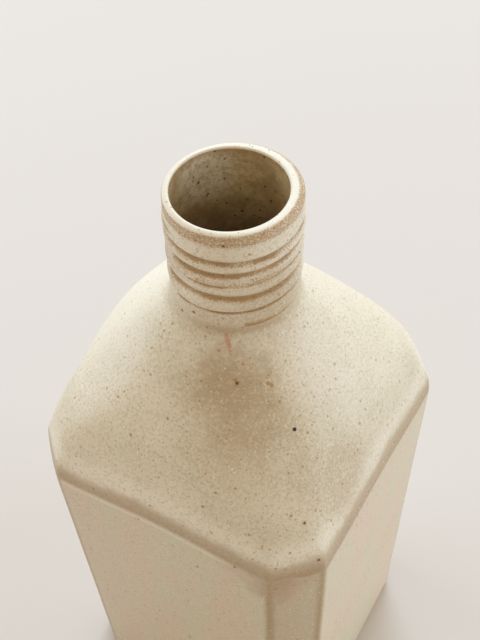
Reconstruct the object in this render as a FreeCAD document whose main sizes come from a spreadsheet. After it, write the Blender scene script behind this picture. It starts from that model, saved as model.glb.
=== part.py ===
import FreeCAD, Part
import math
import os

import Sketcher

# A thrown and squared stoneware bottle, in one piece of fired clay.
# The walls are four flat sides with their corners cut off.  Above them a round-topped
# shoulder runs from the square body up to a round neck, which carries the throwing rings.
# Z is up, and the origin is the middle of the flat foot.  Every size is in millimetres.

SIZES = [
    ("overall_height", 240.0, "foot to lip"),
    ("neck_height", 39.0, "from where the neck leaves the shoulder up to the lip"),
    ("shoulder_height", 60.0, "from the shoulder edge, at mid side, up to the neck"),
    ("body_width", 106.0, "across two sides, at the shoulder edge"),
    ("foot_width", 97.0, "across two sides, at the foot"),
    ("corner_cut", 13.5, "taken off each side at a corner, at the shoulder edge"),
    ("foot_corner_cut", 12.5, "taken off each side at a corner, at the foot"),
    ("corner_softness", 3.0, "radius along the upright edges"),
    ("side_crown", 2.0, "degrees that a side bows over its width"),
    ("corner_crown", 8.0, "degrees that a cut corner bows over its width"),
    ("foot_round", 2.5, "radius round the foot"),
    ("shoulder_edge_arch", 3.0, "how much lower the shoulder edge lies at a corner"),
    ("shoulder_edge_round", 3.5, "length of wall taken up by the rounded shoulder edge"),
    ("shoulder_lean", 10.0, "degrees that the shoulder leans in where it leaves the edge"),
    ("face_rise", 35.0, "how far the shoulder keeps rising steeply over a side"),
    ("ridge_rise", 30.5, "how far the shoulder keeps rising steeply over a corner"),
    ("neck_flare", 35.0, "degrees that the shoulder opens from the neck"),
    ("flare_reach", 44.5, "how far the flare carries down into the shoulder"),
    ("neck_blend", 4.0, "radius of the hollow between shoulder and neck"),
    ("squaring", 1.0, "how soon the round shoulder turns square below the neck, higher is sooner"),
    ("neck_diameter", 39.8, "outside of the neck"),
    ("neck_wall", 3.3, "wall of the neck"),
    ("lip_radius", 2.1, "rounding of the lip outside"),
    ("lip_inner_radius", 0.7, "rounding of the lip inside"),
    ("ring_radius", 1.3, "hollow of a throwing ring, across its profile"),
    ("ring_depth", 0.6, "depth of every other throwing ring, from the first"),
    ("faint_ring_depth", 0.3, "depth of the fainter rings between them"),
    ("first_ring_drop", 5.4, "first throwing ring below the lip"),
    ("ring_pitch", 4.9, "one throwing ring to the next"),
    ("body_wall", 5.0, "wall of the body"),
    ("foot_wall", 7.0, "thickness of the foot"),
    ("inner_corner_softness", 9.0, "radius of the upright corners inside"),
    ("shoulder_thickening", 2.5, "how much lower the shoulder lies inside than outside"),
]

FITTED_SIZES = [
    ("neck_foot_height", "overall_height - neck_height", "where the neck leaves the shoulder"),
    ("shoulder_edge_height", "neck_foot_height - shoulder_height", "shoulder edge, at mid side"),
    ("neck_root_height", "neck_foot_height - shoulder_thickening", "neck foot inside the bottle"),
    ("neck_radius", "neck_diameter / 2", "outside of the neck"),
    ("bore_radius", "neck_radius - neck_wall", "inside of the neck"),
    ("outer_lip", "min(lip_radius; neck_wall * 0.65)", "rounding of the lip outside that the wall allows"),
    ("inner_lip", "min(lip_inner_radius; neck_wall * 0.25)", "and inside"),
    ("ring_space", "neck_height - first_ring_drop - ring_radius - neck_blend", "room for the rings"),
]

NECK_TUCK = 2.0
SHOULDER_STATIONS = 7
ROUND_STATIONS = 4
QUARTER_TURN = math.pi / 2
EIGHTH_TURN = math.pi / 4
ROUND_TURN = math.radians(30.0)
TOUCHING = 0.01
LEVEL_REACH = 1.0


# ---------------------------------------------------------------- document and sizes

doc = FreeCAD.newDocument("CeramicBottle")
sheet = doc.addObject("Spreadsheet::Sheet", "sizes")
for row, (alias, value, meaning) in enumerate(SIZES, start=1):
    sheet.set("A%d" % row, meaning)
    sheet.set("B%d" % row, str(value))
    sheet.setAlias("B%d" % row, alias)
for row, (alias, formula, meaning) in enumerate(FITTED_SIZES, start=len(SIZES) + 1):
    sheet.set("A%d" % row, meaning)
    sheet.set("B%d" % row, "=" + formula)
    sheet.setAlias("B%d" % row, alias)
doc.recompute()


def size(alias):
    return float(sheet.get(alias))


# ---------------------------------------------------------------- outline of the body

class Outline:
    """One level line round the bottle: four sides, four cut corners and eight soft edges.

    Each stretch is an arc, placed by the direction that it faces.  face is the distance of
    a side from the axis and corner that of a cut corner, each with a height of its own.
    """

    def __init__(self, face, face_height, corner, corner_height, softness, side_turn, corner_turn):
        self.face = face
        self.face_height = face_height
        self.corner = corner
        self.corner_height = corner_height
        self.softness = softness
        self.side_end = side_turn / 2
        self.soft_end = EIGHTH_TURN - corner_turn / 2
        self.side_radius, self.corner_radius = self.solve_radii()

    def solve_radii(self):
        """Radii of side and corner that let the arcs meet smoothly with the given softness."""
        first, second = self.side_end, self.soft_end
        a11 = -(1 - math.cos(first))
        a12 = -(math.cos(second) - math.cos(EIGHTH_TURN))
        a21 = math.sin(first)
        a22 = math.sin(EIGHTH_TURN) - math.sin(second)
        reach = self.corner / math.sqrt(2)
        b1 = reach - self.face + self.softness * (math.cos(first) - math.cos(second))
        b2 = reach - self.softness * (math.sin(second) - math.sin(first))
        determinant = a11 * a22 - a12 * a21
        side_radius = (b1 * a22 - a12 * b2) / determinant
        corner_radius = (a11 * b2 - a21 * b1) / determinant
        return side_radius, corner_radius

    def eighth(self, turn):
        """The point whose surface faces turn, from 0 (mid side) to an eighth turn (mid corner)."""
        side_centre = self.face - self.side_radius
        if abs(turn) <= self.side_end:
            return side_centre + self.side_radius * math.cos(turn), self.side_radius * math.sin(turn)
        step = self.side_radius - self.softness
        soft_x = side_centre + step * math.cos(self.side_end)
        soft_y = step * math.sin(self.side_end)
        if turn <= self.soft_end:
            return soft_x + self.softness * math.cos(turn), soft_y + self.softness * math.sin(turn)
        centre = (self.corner - self.corner_radius) / math.sqrt(2)
        return centre + self.corner_radius * math.cos(turn), centre + self.corner_radius * math.sin(turn)

    def point(self, turn):
        """The point of the whole outline whose surface faces turn."""
        quarter = round(turn / QUARTER_TURN)
        local = turn - quarter * QUARTER_TURN
        x, y = self.eighth(abs(local))
        if local < 0:
            y = -y
        angle = quarter * QUARTER_TURN
        east = x * math.cos(angle) - y * math.sin(angle)
        north = x * math.sin(angle) + y * math.cos(angle)
        lean = math.sin(2 * math.atan2(north, east)) ** 2
        height = self.face_height + (self.corner_height - self.face_height) * lean
        return FreeCAD.Vector(east, north, height)

    def edge(self, start, end, count):
        """A smooth curve along the outline, between two facing directions."""
        shares = [i / (count - 1) for i in range(count)]
        points = [self.point(start + (end - start) * share) for share in shares]
        nudge = (end - start) * 1e-3
        first = self.point(start + nudge) - self.point(start)
        last = self.point(end) - self.point(end - nudge)
        curve = Part.BSplineCurve()
        curve.interpolate(Points=points, Parameters=shares,
                          InitialTangent=first.normalize(), FinalTangent=last.normalize())
        return curve.toShape()

    def wire(self):
        """The closed outline: side, soft edge, cut corner and soft edge, four times."""
        edges = []
        for quarter in range(4):
            middle = quarter * QUARTER_TURN
            edges.append(self.edge(middle - self.side_end, middle + self.side_end, 5))
            edges.append(self.edge(middle + self.side_end, middle + self.soft_end, 4))
            far_end = middle + QUARTER_TURN - self.soft_end
            edges.append(self.edge(middle + self.soft_end, far_end, 4))
            edges.append(self.edge(far_end, middle + QUARTER_TURN - self.side_end, 4))
        return Part.Wire(edges)


# ---------------------------------------------------------------- upright lines of the body

def bezier(points, share):
    """A point on the cubic curve with these four control points, each (radius, height)."""
    back = 1 - share
    weights = (back ** 3, 3 * back ** 2 * share, 3 * back * share ** 2, share ** 3)
    radius = sum(weight * point[0] for weight, point in zip(weights, points))
    height = sum(weight * point[1] for weight, point in zip(weights, points))
    return radius, height


def shoulder_line(edge, neck, rise):
    """Control points of the shoulder, from its edge up to the neck, each (radius, height).

    The line runs on past the neck's surface by NECK_TUCK, so that the two cross cleanly.
    """
    lean = math.radians(size("shoulder_lean"))
    flare = math.radians(size("neck_flare"))
    reach = size("flare_reach")
    above = (edge[0] - rise * math.sin(lean), edge[1] + rise * math.cos(lean))
    below = (neck[0] + reach * math.sin(flare), neck[1] - reach * math.cos(flare))
    tucked = (neck[0] - NECK_TUCK * math.sin(flare), neck[1] + NECK_TUCK * math.cos(flare))
    return edge, above, below, tucked


def corner_distance(width, cut):
    """How far from the axis a corner lies when cut is taken off both of its sides."""
    return (width - cut) / math.sqrt(2)


def skin(foot, edge_face, edge_corner, neck, softness, foot_height, foot_round, edge_round):
    """A closed solid from a foot outline up through the shoulder to a round neck.

    foot, edge_face and edge_corner are (face, corner) distances or (radius, height) pairs.
    """
    side_turn = math.radians(size("side_crown"))
    corner_turn = math.radians(size("corner_crown"))
    face_line = shoulder_line(edge_face, neck, size("face_rise"))
    corner_line = shoulder_line(edge_corner, neck, size("ridge_rise"))
    wall_share = 1 - edge_round / (edge_face[1] - foot_height)
    start_share = edge_round / (3 * size("face_rise"))

    def body_outline(face, face_height, corner, corner_height, inset=0.0):
        radius = softness - inset / 2
        return Outline(face - inset, face_height, corner - inset, corner_height,
                       radius, side_turn, corner_turn)

    def wall_outline(height_share):
        face = foot[0] + (edge_face[0] - foot[0]) * height_share
        corner = foot[1] + (edge_corner[0] - foot[1]) * height_share
        face_height = foot_height + (edge_face[1] - foot_height) * height_share
        corner_height = foot_height + (edge_corner[1] - foot_height) * height_share
        return face, face_height, corner, corner_height

    def shoulder_outline(share):
        face, face_height = bezier(face_line, share)
        corner, corner_height = bezier(corner_line, share)
        roundness = ((share - start_share) / (1 - start_share)) ** size("squaring")
        radius = softness + (face - softness) * roundness
        side = side_turn + (ROUND_TURN - side_turn) * roundness
        cut = corner_turn + (ROUND_TURN - corner_turn) * roundness
        return Outline(face, face_height, corner, corner_height, radius, side, cut)

    foot_outlines = []
    for i in range(ROUND_STATIONS):
        angle = QUARTER_TURN * i / (ROUND_STATIONS - 1)
        inset = foot_round * (1 - math.sin(angle))
        rise = foot_round * (1 - math.cos(angle))
        outline = body_outline(foot[0], foot_height + rise, foot[1], foot_height + rise, inset)
        foot_outlines.append(outline)

    # The shoulder edge is rounded between the top of the wall and the start of the shoulder.
    low = wall_outline(wall_share)
    peak = wall_outline(1.0)
    high_face = bezier(face_line, start_share)
    high_corner = bezier(corner_line, start_share)
    high = high_face + high_corner
    edge_outlines = []
    for i in range(ROUND_STATIONS):
        share = i / (ROUND_STATIONS - 1)
        weights = ((1 - share) ** 2, 2 * (1 - share) * share, share ** 2)
        values = [weights[0] * a + weights[1] * b + weights[2] * c for a, b, c in zip(low, peak, high)]
        edge_outlines.append(body_outline(*values))
    shoulder_outlines = [shoulder_outline(start_share + (1 - start_share) * i / (SHOULDER_STATIONS - 1))
                         for i in range(SHOULDER_STATIONS)]

    foot_wires = [outline.wire() for outline in foot_outlines]
    edge_wires = [outline.wire() for outline in edge_outlines]
    shoulder_wires = [edge_wires[-1]] + [outline.wire() for outline in shoulder_outlines[1:]]
    faces = [Part.Face(foot_wires[0]), Part.Face(shoulder_wires[-1])]
    faces += Part.makeLoft(foot_wires, False, True).Faces
    faces += Part.makeLoft([foot_wires[-1], edge_wires[0]], False, True).Faces
    faces += Part.makeLoft(edge_wires, False, False).Faces
    faces += Part.makeLoft(shoulder_wires, False, False).Faces
    sewn = Part.makeCompound(faces)
    sewn.sewShape(1e-4)
    solid = Part.Solid(sewn.Shells[0] if sewn.Shells else Part.Shell(sewn.Faces))
    if solid.Volume < 0:
        solid.reverse()
    return solid


# ---------------------------------------------------------------- outside and inside of the body

body_form = doc.addObject("Part::Feature", "body_form")
body_form.Shape = skin(
    foot=(size("foot_width") / 2, corner_distance(size("foot_width"), size("foot_corner_cut"))),
    edge_face=(size("body_width") / 2, size("shoulder_edge_height")),
    edge_corner=(corner_distance(size("body_width"), size("corner_cut")),
                 size("shoulder_edge_height") - size("shoulder_edge_arch")),
    neck=(size("neck_radius"), size("neck_foot_height")),
    softness=size("corner_softness"),
    foot_height=0.0,
    foot_round=size("foot_round"),
    edge_round=size("shoulder_edge_round"))

# Inside, the corners are rounder than outside, so the clay is thickest there.
inner_foot_width = size("foot_width") - 2 * size("body_wall")
inner_body_width = size("body_width") - 2 * size("body_wall")
inner_cut = 2 * (size("inner_corner_softness") - size("corner_softness")) * (1 - math.sqrt(0.5))
inner_edge_height = size("shoulder_edge_height") - size("shoulder_thickening")

body_hollow = doc.addObject("Part::Feature", "body_hollow")
body_hollow.Shape = skin(
    foot=(inner_foot_width / 2,
          corner_distance(inner_foot_width, size("foot_corner_cut") + inner_cut)),
    edge_face=(inner_body_width / 2, inner_edge_height),
    edge_corner=(corner_distance(inner_body_width, size("corner_cut") + inner_cut),
                 inner_edge_height - size("shoulder_edge_arch")),
    neck=(size("bore_radius"), size("neck_root_height")),
    softness=size("inner_corner_softness"),
    foot_height=size("foot_wall"),
    foot_round=size("body_wall"),
    edge_round=size("shoulder_edge_round") + size("body_wall"))


# ---------------------------------------------------------------- neck, lip, rings and bore

def origin_feature(body, role):
    """An axis or plane of a body's own origin."""
    return [feature for feature in body.Origin.OriginFeatures if feature.Role == role][0]


def profile_sketch(body, name):
    """A sketch on the upright plane through the axis: across is radius and up is height."""
    sketch = body.newObject("Sketcher::SketchObject", name)
    sketch.AttachmentSupport = [(origin_feature(body, "XZ_Plane"), "")]
    sketch.MapMode = "FlatFace"
    return sketch


def bind(sketch, name, constraint, expression):
    """Add a constraint with a name and tie it to the sheet."""
    index = sketch.addConstraint(constraint)
    sketch.renameConstraint(index, name)
    sketch.setExpression("Constraints." + name, expression)


START, END, CENTRE = 1, 2, 3
SKETCH_ORIGIN = -1
UPRIGHT_AXIS = -2


def point(radius, height):
    return FreeCAD.Vector(radius, height, 0)


def arc(centre, radius, start_degrees, end_degrees):
    circle = Part.Circle(centre, FreeCAD.Vector(0, 0, 1), radius)
    return Part.ArcOfCircle(circle, math.radians(start_degrees), math.radians(end_degrees))


def turn_profile(body, sketch, name):
    """Turn a half profile once round the upright axis."""
    turned = body.newObject("PartDesign::Revolution", name)
    turned.Profile = sketch
    turned.ReferenceAxis = (sketch, ["V_Axis"])
    turned.Angle = 360
    body.Tip = turned
    return turned


def add_outline(sketch, pieces):
    """Draw the pieces of a closed outline, each one starting where the one before it ends."""
    for piece in pieces:
        sketch.addGeometry(piece, False)


# The neck starts a little inside the shoulder, as a solid core with a rounded lip.
neck = doc.addObject("PartDesign::Body", "neck_form")
neck_profile = profile_sketch(neck, "neck_profile")
neck_radius = size("neck_radius")
neck_root = size("neck_root_height")
lip_top = size("overall_height")
outer_lip = size("outer_lip")
lip_bottom = lip_top - outer_lip
add_outline(neck_profile, [
    Part.LineSegment(point(0, neck_root), point(neck_radius, neck_root)),
    Part.LineSegment(point(neck_radius, neck_root), point(neck_radius, lip_bottom)),
    arc(point(neck_radius - outer_lip, lip_bottom), outer_lip, 0, 90),
    Part.LineSegment(point(neck_radius - outer_lip, lip_top), point(0, lip_top)),
    Part.LineSegment(point(0, lip_top), point(0, neck_root)),
])
for first, second in ((0, 1), (3, 4), (4, 0)):
    neck_profile.addConstraint(Sketcher.Constraint("Coincident", first, END, second, START))
neck_profile.addConstraint(Sketcher.Constraint("Tangent", 1, END, 2, START))
neck_profile.addConstraint(Sketcher.Constraint("Tangent", 2, END, 3, START))
neck_profile.addConstraint(Sketcher.Constraint("Horizontal", 0))
neck_profile.addConstraint(Sketcher.Constraint("Vertical", 1))
neck_profile.addConstraint(Sketcher.Constraint("Horizontal", 3))
neck_profile.addConstraint(Sketcher.Constraint("PointOnObject", 4, START, UPRIGHT_AXIS))
neck_profile.addConstraint(Sketcher.Constraint("PointOnObject", 4, END, UPRIGHT_AXIS))
bind(neck_profile, "radius", Sketcher.Constraint(
    "DistanceX", SKETCH_ORIGIN, START, 0, END, neck_radius), "sizes.neck_radius")
bind(neck_profile, "root", Sketcher.Constraint(
    "DistanceY", SKETCH_ORIGIN, START, 0, END, neck_root), "sizes.neck_root_height")
bind(neck_profile, "top", Sketcher.Constraint(
    "DistanceY", SKETCH_ORIGIN, START, 3, START, lip_top), "sizes.overall_height")
bind(neck_profile, "lip", Sketcher.Constraint("Radius", 2, outer_lip), "sizes.outer_lip")
turn_profile(neck, neck_profile, "neck_turned")

# Throwing rings: shallow hollows left by the fingers, deep and faint in turn, as many as the
# neck has room for.
ring_profile = profile_sketch(neck, "ring_profile")
ring_count = 1 + int(size("ring_space") / size("ring_pitch"))
for ring in range(ring_count):
    depth = "faint_ring_depth" if ring % 2 else "ring_depth"
    centre_radius = neck_radius + size("ring_radius") - size(depth)
    centre_drop = size("first_ring_drop") + ring * size("ring_pitch")
    centre = point(centre_radius, lip_top - centre_drop)
    ring_profile.addGeometry(Part.Circle(centre, FreeCAD.Vector(0, 0, 1), size("ring_radius")), False)
    bind(ring_profile, "ring_radius_%d" % ring, Sketcher.Constraint(
        "Radius", ring, size("ring_radius")), "sizes.ring_radius")
    bind(ring_profile, "ring_reach_%d" % ring, Sketcher.Constraint(
        "DistanceX", SKETCH_ORIGIN, START, ring, CENTRE, centre.x),
        "sizes.neck_radius + sizes.ring_radius - sizes." + depth)
    bind(ring_profile, "ring_height_%d" % ring, Sketcher.Constraint(
        "DistanceY", SKETCH_ORIGIN, START, ring, CENTRE, centre.y),
        "sizes.overall_height - sizes.first_ring_drop - %d * sizes.ring_pitch" % ring)
doc.recompute()
smooth_neck_volume = neck.Shape.Volume
rings = neck.newObject("PartDesign::Groove", "throwing_rings")
rings.Profile = ring_profile
rings.ReferenceAxis = (ring_profile, ["V_Axis"])
rings.Angle = 360
neck.Tip = rings

# The bore runs from the hollow body out through the lip, which it opens with a rounded edge.
bore = doc.addObject("PartDesign::Body", "bore_form")
bore_profile = profile_sketch(bore, "bore_profile")
bore_radius = size("bore_radius")
inner_lip = size("inner_lip")
bore_root = neck_root - size("neck_wall")
bore_lip = lip_top - inner_lip
bore_top = lip_top + inner_lip
mouth_radius = bore_radius + inner_lip
add_outline(bore_profile, [
    Part.LineSegment(point(0, bore_root), point(bore_radius, bore_root)),
    Part.LineSegment(point(bore_radius, bore_root), point(bore_radius, bore_lip)),
    arc(point(mouth_radius, bore_lip), inner_lip, 90, 180),
    Part.LineSegment(point(mouth_radius, lip_top), point(mouth_radius, bore_top)),
    Part.LineSegment(point(mouth_radius, bore_top), point(0, bore_top)),
    Part.LineSegment(point(0, bore_top), point(0, bore_root)),
])
for first, second in ((0, 1), (3, 4), (4, 5), (5, 0)):
    bore_profile.addConstraint(Sketcher.Constraint("Coincident", first, END, second, START))
bore_profile.addConstraint(Sketcher.Constraint("Tangent", 1, END, 2, END))
bore_profile.addConstraint(Sketcher.Constraint("Coincident", 2, START, 3, START))
bore_profile.addConstraint(Sketcher.Constraint("Vertical", 2, START, 2, CENTRE))
for horizontal in (0, 4):
    bore_profile.addConstraint(Sketcher.Constraint("Horizontal", horizontal))
for vertical in (1, 3):
    bore_profile.addConstraint(Sketcher.Constraint("Vertical", vertical))
bore_profile.addConstraint(Sketcher.Constraint("PointOnObject", 5, START, UPRIGHT_AXIS))
bore_profile.addConstraint(Sketcher.Constraint("PointOnObject", 5, END, UPRIGHT_AXIS))
bind(bore_profile, "radius", Sketcher.Constraint(
    "DistanceX", SKETCH_ORIGIN, START, 0, END, bore_radius), "sizes.bore_radius")
bind(bore_profile, "root", Sketcher.Constraint(
    "DistanceY", SKETCH_ORIGIN, START, 0, END, bore_root), "sizes.neck_root_height - sizes.neck_wall")
bind(bore_profile, "lip_height", Sketcher.Constraint(
    "DistanceY", SKETCH_ORIGIN, START, 2, START, lip_top), "sizes.overall_height")
bind(bore_profile, "top", Sketcher.Constraint(
    "DistanceY", SKETCH_ORIGIN, START, 4, START, bore_top), "sizes.overall_height + sizes.inner_lip")
bind(bore_profile, "lip", Sketcher.Constraint("Radius", 2, inner_lip), "sizes.inner_lip")
turn_profile(bore, bore_profile, "bore_turned")
doc.recompute()


# ---------------------------------------------------------------- the bottle, in one piece

outside = doc.addObject("Part::Fuse", "outside")
outside.Base = body_form
outside.Tool = neck
outside.Refine = True

inside = doc.addObject("Part::Fuse", "inside")
inside.Base = body_hollow
inside.Tool = bore
inside.Refine = True

doc.recompute()


def meeting_edges(shape, radius, height):
    """Numbers of the edges that go round at this radius, close to this height."""
    found = []
    for number, edge in enumerate(shape.Edges, start=1):
        middle = edge.CenterOfMass
        ends = [vertex.Point for vertex in edge.Vertexes]
        level = all(abs(end.z - height) < LEVEL_REACH for end in ends)
        near = all(abs(math.hypot(end.x, end.y) - radius) < TOUCHING for end in ends)
        if level and near and abs(middle.z - height) < LEVEL_REACH:
            found.append(number)
    return found


blended = doc.addObject("Part::Fillet", "blended")
blended.Base = outside
blended.Edges = [(number, size("neck_blend"), size("neck_blend"))
                 for number in meeting_edges(outside.Shape, neck_radius, size("neck_foot_height"))]

bottle = doc.addObject("Part::Cut", "bottle")
bottle.Base = blended
bottle.Tool = inside
bottle.Label = "bottle"
doc.recompute()


# ---------------------------------------------------------------- checks and output

def check_document():
    """Stop if any object failed to build."""
    for item in doc.Objects:
        if "Invalid" in item.State or "Error" in item.State:
            raise RuntimeError("%s did not build: %s" % (item.Name, item.State))
    if neck.Shape.Volume >= smooth_neck_volume:
        raise RuntimeError("the throwing rings cut nothing")


def check_piece(piece):
    """Stop if a piece is not one valid solid."""
    if piece.Shape.isNull() or not piece.Shape.isValid():
        raise RuntimeError(piece.Label + " is not a valid shape")
    if len(piece.Shape.Solids) != 1:
        raise RuntimeError(piece.Label + " is not one solid")


PIECES = [bottle]

check_document()
for piece in PIECES:
    check_piece(piece)
os.makedirs("parts", exist_ok=True)
for piece in PIECES:
    piece.Shape.exportStep("parts/" + piece.Label + ".step")
    print(piece.Label, "volume %.1f cm3" % (piece.Shape.Volume / 1000))
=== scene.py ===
"""Ceramic bottle: thrown, squared and glazed by hand.

The bottle is one closed mesh of fired clay: outside, lip, bore, hollow inside and foot.
Its surface carries a few measured values, such as how far a point lies from the shoulder
edge, and the glaze reads those to break brown at edges and throwing rings.
"""

import math

import bpy
import numpy as np
from bpy.props import FloatProperty, FloatVectorProperty, PointerProperty
from mathutils import Matrix, Vector, noise
from mathutils.bvhtree import BVHTree


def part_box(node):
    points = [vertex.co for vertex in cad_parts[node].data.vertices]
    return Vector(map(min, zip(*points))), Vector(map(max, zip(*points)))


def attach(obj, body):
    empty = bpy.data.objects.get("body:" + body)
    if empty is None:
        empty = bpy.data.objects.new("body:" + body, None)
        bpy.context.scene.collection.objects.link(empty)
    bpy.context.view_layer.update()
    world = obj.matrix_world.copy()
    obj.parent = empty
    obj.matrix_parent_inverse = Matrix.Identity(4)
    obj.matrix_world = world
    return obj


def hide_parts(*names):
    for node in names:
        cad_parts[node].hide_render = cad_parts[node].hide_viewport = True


bl_info = {
    "name": "Ceramic Bottle",
    "version": (1, 0, 0),
    "blender": (4, 5, 0),
    "location": "View3D > Sidebar > Bottle",
    "description": "Builds a hand-thrown, squared stoneware bottle with a speckled cream glaze",
    "category": "Add Mesh",
}

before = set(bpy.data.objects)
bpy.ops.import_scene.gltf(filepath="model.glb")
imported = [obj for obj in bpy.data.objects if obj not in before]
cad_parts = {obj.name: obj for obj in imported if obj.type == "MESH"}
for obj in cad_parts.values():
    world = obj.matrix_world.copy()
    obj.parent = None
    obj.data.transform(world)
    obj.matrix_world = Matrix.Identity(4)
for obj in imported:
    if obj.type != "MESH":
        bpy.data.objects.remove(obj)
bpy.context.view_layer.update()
CAD_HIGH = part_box("bottle")[1]

MM = 0.001
QUARTER_TURN = math.pi / 2
EIGHTH_TURN = math.pi / 4
ROUND_TURN = math.radians(30.0)  # of a side, and of a cut corner, where an outline is round
SENSOR_WIDTH = 36.0


# ---------------------------------------------------------------- settings

def length(name, description, millimetres):
    """A length that the user can change, given in millimetres and kept in metres."""
    return FloatProperty(name=name, description=description, default=millimetres * MM,
                         min=0.0, unit="LENGTH", precision=4)


def angle(name, description, degrees):
    """An angle that the user can change, given in degrees."""
    return FloatProperty(name=name, description=description, default=math.radians(degrees),
                         min=0.0, unit="ROTATION")


def linear(value):
    """Screen value to light value, each from 0 to 1."""
    if value <= 0.04045:
        return value / 12.92
    return ((value + 0.055) / 1.055) ** 2.4


def colour(name, description, red, green, blue):
    """A colour given as it looks on a screen, from 0 to 255, and kept as Blender keeps it."""
    return FloatVectorProperty(name=name, description=description, size=3, subtype="COLOR",
                               min=0.0, max=1.0,
                               default=[linear(v / 255) for v in (red, green, blue)])


def share(name, description, default):
    """A share from 0 to 1."""
    return FloatProperty(name=name, description=description, default=default,
                         min=0.0, max=1.0, subtype="FACTOR")


def power(name, description, watts):
    """The power of a lamp."""
    return FloatProperty(name=name, description=description, default=watts, min=0.0, unit="POWER")


class BottleForm(bpy.types.PropertyGroup):
    """Sizes of the fired clay."""

    body_width: length("Body width", "Across two sides, at the shoulder edge", 106.0)
    foot_width: length("Foot width", "Across two sides, at the foot", 97.0)
    corner_cut: length("Corner cut", "Taken off each side at a corner, at the shoulder edge", 13.5)
    foot_corner_cut: length("Foot corner cut", "Taken off each side at a corner, at the foot",
                            12.5)
    corner_softness: length("Corner softness", "Radius along the upright edges", 3.0)
    side_crown: angle("Side crown", "How far a side bows over its width", 2.0)
    corner_crown: angle("Corner crown", "How far a cut corner bows over its width", 8.0)
    foot_round: length("Foot round", "Radius round the foot", 2.5)
    edge_height: length("Shoulder edge", "Shoulder edge above the foot, at mid side", 141.0)
    edge_arch: length("Edge arch", "How much lower the shoulder edge lies at a corner", 3.0)
    edge_round: length("Edge round", "Wall taken up by the rounded shoulder edge", 3.5)
    shoulder_lean: angle("Shoulder lean", "How far the shoulder leans in at its edge", 10.0)
    face_rise: length("Face rise", "Reach of the steep part of the shoulder over a side", 35.0)
    ridge_rise: length("Ridge rise", "Reach of the steep part over a corner", 30.5)
    neck_foot: length("Neck foot", "Where the neck leaves the shoulder", 201.0)
    neck_flare: angle("Neck flare", "How far the shoulder opens from the neck", 35.0)
    flare_reach: length("Flare reach", "How far the flare carries down", 44.5)
    neck_blend: length("Neck blend", "Length of the hollow between shoulder and neck", 3.5)
    neck_diameter: length("Neck", "Outside of the neck", 39.8)
    neck_wall: length("Neck wall", "Wall of the neck", 3.3)
    neck_shift: length("Neck shift", "How far the outside of the lip stands off the bore's axis",
                       0.95)
    neck_foot_shift: length("Neck foot shift", "The same at the foot of the neck", 0.3)
    lip_radius: length("Lip outside", "Rounding of the lip outside", 2.1)
    lip_inner_radius: length("Lip inside", "Rounding of the lip inside", 0.7)
    body_wall: length("Body wall", "Wall of the body", 5.0)
    foot_wall: length("Foot wall", "Thickness of the foot", 7.0)
    inner_softness: length("Inner corners", "Radius of the upright corners inside", 9.0)
    shoulder_thickening: length("Shoulder clay", "How much lower the shoulder lies inside", 2.5)
    ring_depth: length("Ring depth", "Depth of the deepest throwing ring", 0.80)
    hand_wobble: length("Hand wobble", "Unevenness left by the hand", 0.22)


class BottleGlaze(bpy.types.PropertyGroup):
    """Colours and strengths of the glaze."""

    cream: colour("Cream", "Glaze where it lies thick, on the shoulder", 226, 217, 195)
    pale: colour("Pale", "Whitest glaze, along the shoulder edge and the lip", 236, 230, 212)
    green: colour("Green", "Greenish patches where glaze pooled", 200, 194, 164)
    blush: colour("Blush", "Pinkish patches low on the sides", 210, 184, 160)
    haze: colour("Haze", "Thin glaze below the neck", 180, 158, 122)
    break_brown: colour("Break brown", "Where glaze breaks over an edge", 160, 128, 86)
    rust: colour("Rust", "Iron bleeding out at the throwing rings", 170, 130, 74)
    pink: colour("Pink", "Flame mark below the neck", 200, 104, 90)
    iron: colour("Iron", "Dark iron specks", 84, 58, 36)
    black: colour("Black", "The largest iron speck", 24, 20, 18)
    amber: colour("Amber", "Golden-brown specks", 178, 136, 76)
    inside: colour("Inside", "Glaze inside the bore", 206, 187, 144)
    clay: colour("Clay", "Bare clay under the foot", 186, 158, 122)
    gloss: share("Roughness", "Roughness of the glaze", 0.42)


class BottleStudio(bpy.types.PropertyGroup):
    """Floor, lights and camera."""

    floor: colour("Floor", "Plain pale table", 215, 209, 203)
    sky: colour("Sky", "Soft light from all round", 255, 236, 212)
    sky_strength: FloatProperty(name="Sky strength", description="Light from all round",
                                default=0.65, min=0.0)
    window: colour("Window", "Light from behind", 214, 235, 255)
    window_power: power("Window power", "Light from behind", 115.0)
    window_size: length("Window size", "Side of the light from behind", 2400.0)
    right_power: power("Right power", "Light from the right", 12.5)
    left_power: power("Left power", "Light from the left", 8.9)
    side_size: length("Side size", "Side of the lights at right and left", 1000.0)
    camera_distance: length("Camera distance", "From the middle of the mouth", 308.5)
    camera_azimuth: angle("Camera azimuth", "Turned round the bottle from its front", 31.83)
    camera_pitch: angle("Camera pitch", "How far the camera looks down", 49.23)
    camera_roll: FloatProperty(name="Camera roll", description="Tilt of the camera",
                               default=math.radians(-2.71), unit="ROTATION")
    camera_lens: FloatProperty(name="Camera lens", description="Focal length on a 36 mm sensor",
                               default=63.4, min=1.0, unit="CAMERA")
    mouth_right: FloatProperty(name="Mouth right", description="Mouth right of the view's middle, "
                               "as a share of the view's height", default=-0.0166)
    mouth_up: FloatProperty(name="Mouth up", description="Mouth above the view's middle, "
                            "as a share of the view's height", default=0.2077)


# ---------------------------------------------------------------- outline of the body

SIDE_STEPS = 18
EDGE_STEPS = 8
CORNER_STEPS = 6
COLUMNS = 8 * (SIDE_STEPS + EDGE_STEPS + CORNER_STEPS)


def crowded(count):
    """Shares from 0 to 1 that crowd a little towards 1, where the upright edges are."""
    even = np.linspace(0.0, 1.0, count + 1)
    return (even + np.sin(even * QUARTER_TURN)) / 2


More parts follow.
